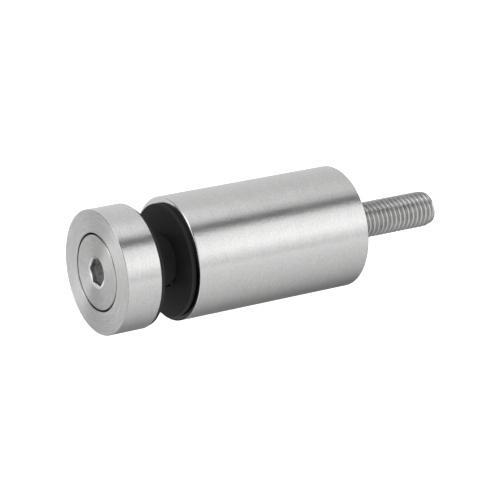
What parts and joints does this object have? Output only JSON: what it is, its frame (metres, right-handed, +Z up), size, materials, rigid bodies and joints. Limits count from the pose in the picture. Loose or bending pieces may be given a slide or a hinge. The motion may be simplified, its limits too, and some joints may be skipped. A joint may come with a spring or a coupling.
{
  "type": "glass panel standoff",
  "caption": "Round stainless spacer on a threaded wall stud, with black gaskets, a bush and a screwed clamp cap that grips a drilled glass panel.",
  "frame": {"origin": "centre of the spacer's wall face, on the common axis of all the pieces", "axes": "+Y along the axis into the wall, from the clamp cap to the stud; +Z up, as it is fixed to an upright wall"},
  "size_m": [0.04, 0.1268, 0.04],
  "materials": {
    "spacer_steel": "satin stainless steel, fine grain round the axis",
    "cap_steel": "satin stainless steel, turned face",
    "screw_steel": "satin stainless steel, turned head",
    "stud_steel": "plain rolled stainless thread",
    "gasket_rubber": "matte black rubber",
    "bush_plastic": "matte black plastic"
  },
  "bodies": {
    "spacer": {"spacer_body": "spacer_steel", "wall_stud": "stud_steel", "body_gasket": "gasket_rubber", "glass_bush": "bush_plastic"},
    "front_gasket": {"cap_gasket": "gasket_rubber"},
    "cap": {"clamp_cap": "cap_steel"},
    "screw": {"clamp_screw": "screw_steel"}
  },
  "joints": [
    {"name": "clamp_travel", "type": "slide", "parent": "spacer", "child": "front_gasket", "axis": [0, -1, 0], "range_m": [-0.0024, 0.0175]},
    {"name": "screw_turn", "type": "hinge", "parent": "front_gasket", "child": "screw", "pos_m": [0, -0.08935, 0], "axis": [0, -1, 0], "range_deg": [-494, 3601]},
    {"name": "cap_spin", "type": "hinge", "parent": "front_gasket", "child": "cap", "pos_m": [0, -0.0895, 0], "axis": [0, -1, 0], "continuous": true}
  ],
  "couplings": [
    {"joint": "screw_turn", "follows": "clamp_travel", "rad_per_m": 3590.4}
  ]
}
